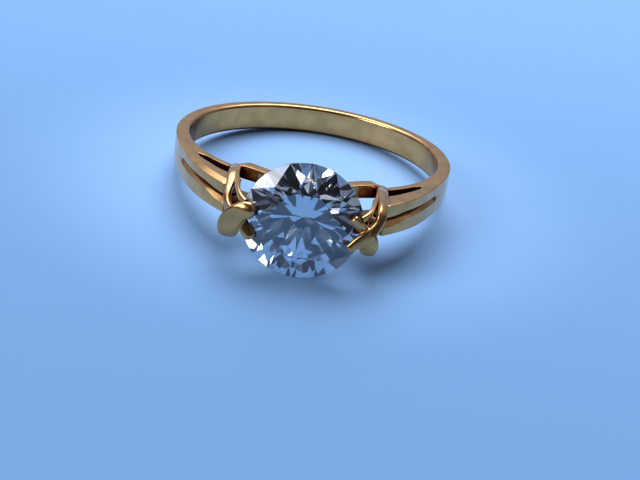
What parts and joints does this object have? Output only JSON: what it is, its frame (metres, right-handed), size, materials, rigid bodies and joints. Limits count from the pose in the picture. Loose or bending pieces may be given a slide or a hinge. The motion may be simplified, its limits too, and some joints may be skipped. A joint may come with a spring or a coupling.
{
  "type": "solitaire engagement ring",
  "caption": "Yellow gold ring with a round clear stone held by two pairs of crossed ribbons, split double-wire shoulders and a plain band.",
  "frame": {"origin": "centre of the finger hole, in the middle of the band's width", "axes": "+Z along the finger's axis, which is up when the ring lies on its side; -Y towards the stone; +X to the right when the stone faces the viewer"},
  "size_m": [0.019, 0.0237, 0.0074],
  "materials": {
    "yellow_gold": "polished",
    "clear_stone": "polished"
  },
  "bodies": {
    "root": {"finger_band": "yellow_gold", "gallery_rail_upper": "yellow_gold", "gallery_rail_lower": "yellow_gold", "shoulder_wire_upper_left": "yellow_gold", "shoulder_wire_upper_right": "yellow_gold", "shoulder_wire_lower_left": "yellow_gold", "shoulder_wire_lower_right": "yellow_gold", "ribbon_rail_left": "yellow_gold", "ribbon_rail_right": "yellow_gold", "ribbon_lobe_left": "yellow_gold", "ribbon_lobe_right": "yellow_gold", "claw_post_upper_left": "yellow_gold", "claw_post_upper_right": "yellow_gold", "claw_post_lower_left": "yellow_gold", "claw_post_lower_right": "yellow_gold", "centre_stone": "clear_stone"}
  },
  "joints": []
}
